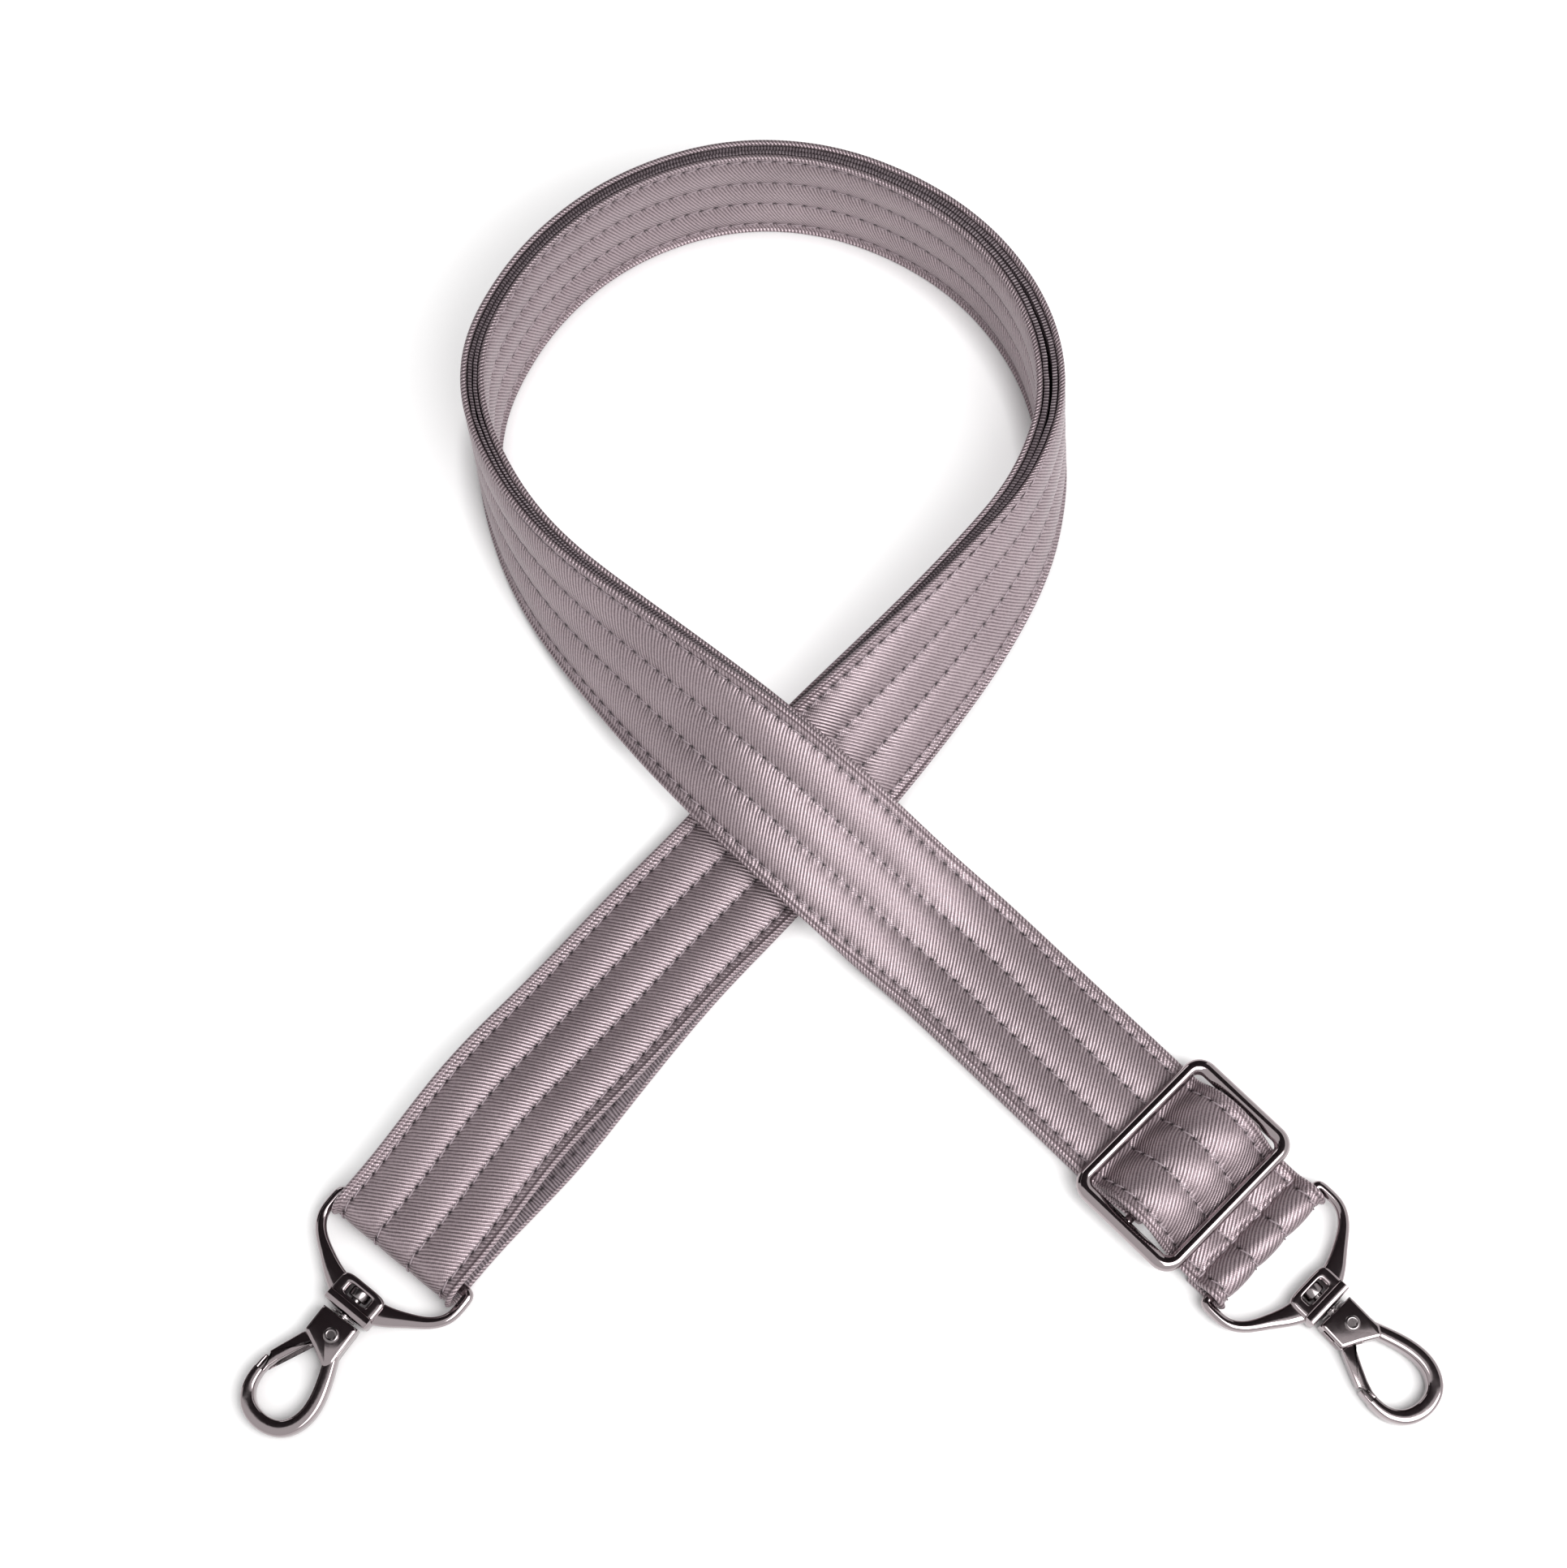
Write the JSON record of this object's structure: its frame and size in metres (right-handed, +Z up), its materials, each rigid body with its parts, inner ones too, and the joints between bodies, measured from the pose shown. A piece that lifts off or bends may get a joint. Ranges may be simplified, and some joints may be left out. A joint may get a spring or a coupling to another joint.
{
  "type": "bag strap",
  "caption": "Detachable wide quilted satin bag strap, laid in a crossed loop, with a metal slider and a swivel snap hook at each end.",
  "frame": {"origin": "under the middle of the bounding box, on the table that the strap lies on", "axes": "+Z up; +Y along the table from the hooks to the loop's top, away from the camera; +X to the right in the picture"},
  "size_m": [0.2894, 0.338, 0.0386],
  "materials": {
    "satin": "twill satin, quilted",
    "lining": "plain weave",
    "thread": "twisted sewing thread",
    "gunmetal": "polished dark nickel",
    "steel": "plain"
  },
  "bodies": {
    "band": {"tail_facing": "satin", "left_fold_facing": "satin", "slider_wave_facing": "satin", "slider_run_facing": "satin", "return_slider_run_facing": "satin", "outer_upper_leg_facing": "satin", "outer_loop_facing": "satin", "outer_lower_leg_facing": "satin", "return_upper_leg_facing": "satin", "return_loop_facing": "satin", "return_lower_leg_facing": "satin", "tail_backing": "lining", "left_fold_backing": "lining", "slider_wave_backing": "lining", "slider_run_backing": "lining", "return_slider_run_backing": "lining", "outer_upper_leg_backing": "lining", "outer_loop_backing": "lining", "outer_lower_leg_backing": "lining", "return_upper_leg_backing": "lining", "return_loop_backing": "lining", "return_lower_leg_backing": "lining", "cross_seam_thread": "thread"},
    "slider": {"slider_frame": "gunmetal", "slider_centre_bar": "gunmetal", "end_loop": "satin"},
    "right_ring": {"right_ring": "gunmetal"},
    "right_hook": {"right_hook_body": "gunmetal", "right_swivel_pin": "steel", "right_swivel_washer": "steel", "right_gate_rivet": "steel", "right_gate_spring": "steel"},
    "right_gate": {"right_gate": "gunmetal"},
    "left_ring": {"left_ring": "gunmetal"},
    "left_hook": {"left_hook_body": "gunmetal", "left_swivel_pin": "steel", "left_swivel_washer": "steel", "left_gate_rivet": "steel", "left_gate_spring": "steel"},
    "left_gate": {"left_gate": "gunmetal"}
  },
  "joints": [
    {"name": "slider_slide", "type": "slide", "parent": "band", "child": "slider", "axis": [-0.7046, 0.7096, 0], "range_m": [0, 0.02], "deforming": ["slider_wave_facing", "slider_wave_backing", "slider_run_facing", "slider_run_backing", "return_slider_run_facing", "return_slider_run_backing"]},
    {"name": "right_ring_swing", "type": "hinge", "parent": "band", "child": "right_ring", "pos_m": [0.10291, -0.12241, 0.00438], "axis": [-0.7096, -0.7046, 0], "range_deg": [-60, 90]},
    {"name": "right_swivel", "type": "hinge", "parent": "right_ring", "child": "right_hook", "pos_m": [0.11938, -0.13915, 0.00369], "axis": [0.6791, -0.7334, -0.0294], "continuous": true},
    {"name": "right_gate_hinge", "type": "hinge", "parent": "right_hook", "child": "right_gate", "pos_m": [0.1233, -0.14206, 0.00355], "axis": [0.0208, -0.0209, 0.9996], "range_deg": [0, 18], "stiffness_Nm_per_rad": 0.02, "springref_deg": -28.65},
    {"name": "left_ring_swing", "type": "hinge", "parent": "band", "child": "left_ring", "pos_m": [-0.10662, -0.12215, 0.00438], "axis": [-0.7815, 0.6239, 0], "range_deg": [-60, 90]},
    {"name": "left_swivel", "type": "hinge", "parent": "left_ring", "child": "left_hook", "pos_m": [-0.12116, -0.1406, 0.00369], "axis": [-0.5875, -0.8087, -0.0294], "continuous": true},
    {"name": "left_gate_hinge", "type": "hinge", "parent": "left_hook", "child": "left_gate", "pos_m": [-0.12325, -0.14501, 0.00355], "axis": [-0.0184, -0.023, 0.9996], "range_deg": [0, 18], "stiffness_Nm_per_rad": 0.02, "springref_deg": -28.65}
  ]
}
